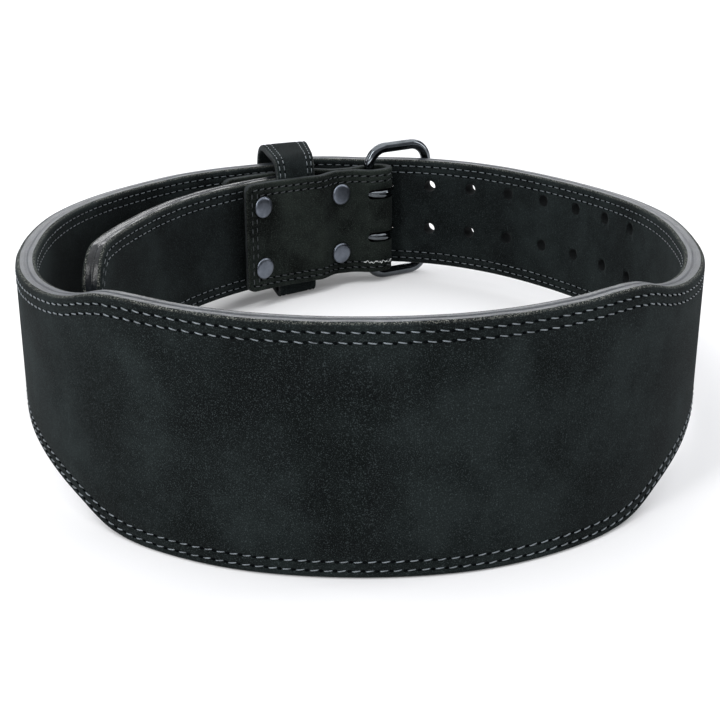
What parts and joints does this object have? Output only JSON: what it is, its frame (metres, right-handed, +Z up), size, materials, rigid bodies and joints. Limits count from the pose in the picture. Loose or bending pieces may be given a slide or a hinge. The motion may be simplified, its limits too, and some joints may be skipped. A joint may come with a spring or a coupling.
{
  "type": "weightlifting belt",
  "caption": "Suede weightlifting belt standing on edge, fastened in a loop: wide back, narrow arms, rows of holes, riveted buckle strap, keeper and round-wire buckle.",
  "frame": {"origin": "middle of the floor under the belt's outline", "axes": "+Z up, +Y from the wide back towards the buckle, +X towards the arm with the holes"},
  "size_m": [0.3124, 0.3826, 0.1016],
  "materials": {
    "suede": "matt black suede with grey burnished edges",
    "gunmetal": "polished gunmetal plating",
    "nickel": "satin nickel"
  },
  "bodies": {
    "root": {"belt_outer_layer": "suede", "belt_inner_layer": "suede", "buckle_strap_outer_layer": "suede", "buckle_strap_inner_layer": "suede", "chape": "suede", "keeper": "suede", "buckle_frame": "gunmetal", "prong_upper": "gunmetal", "prong_lower": "gunmetal", "rivet_right_upper": "nickel", "rivet_right_lower": "nickel", "rivet_left_upper": "nickel", "rivet_left_lower": "nickel"}
  },
  "joints": []
}
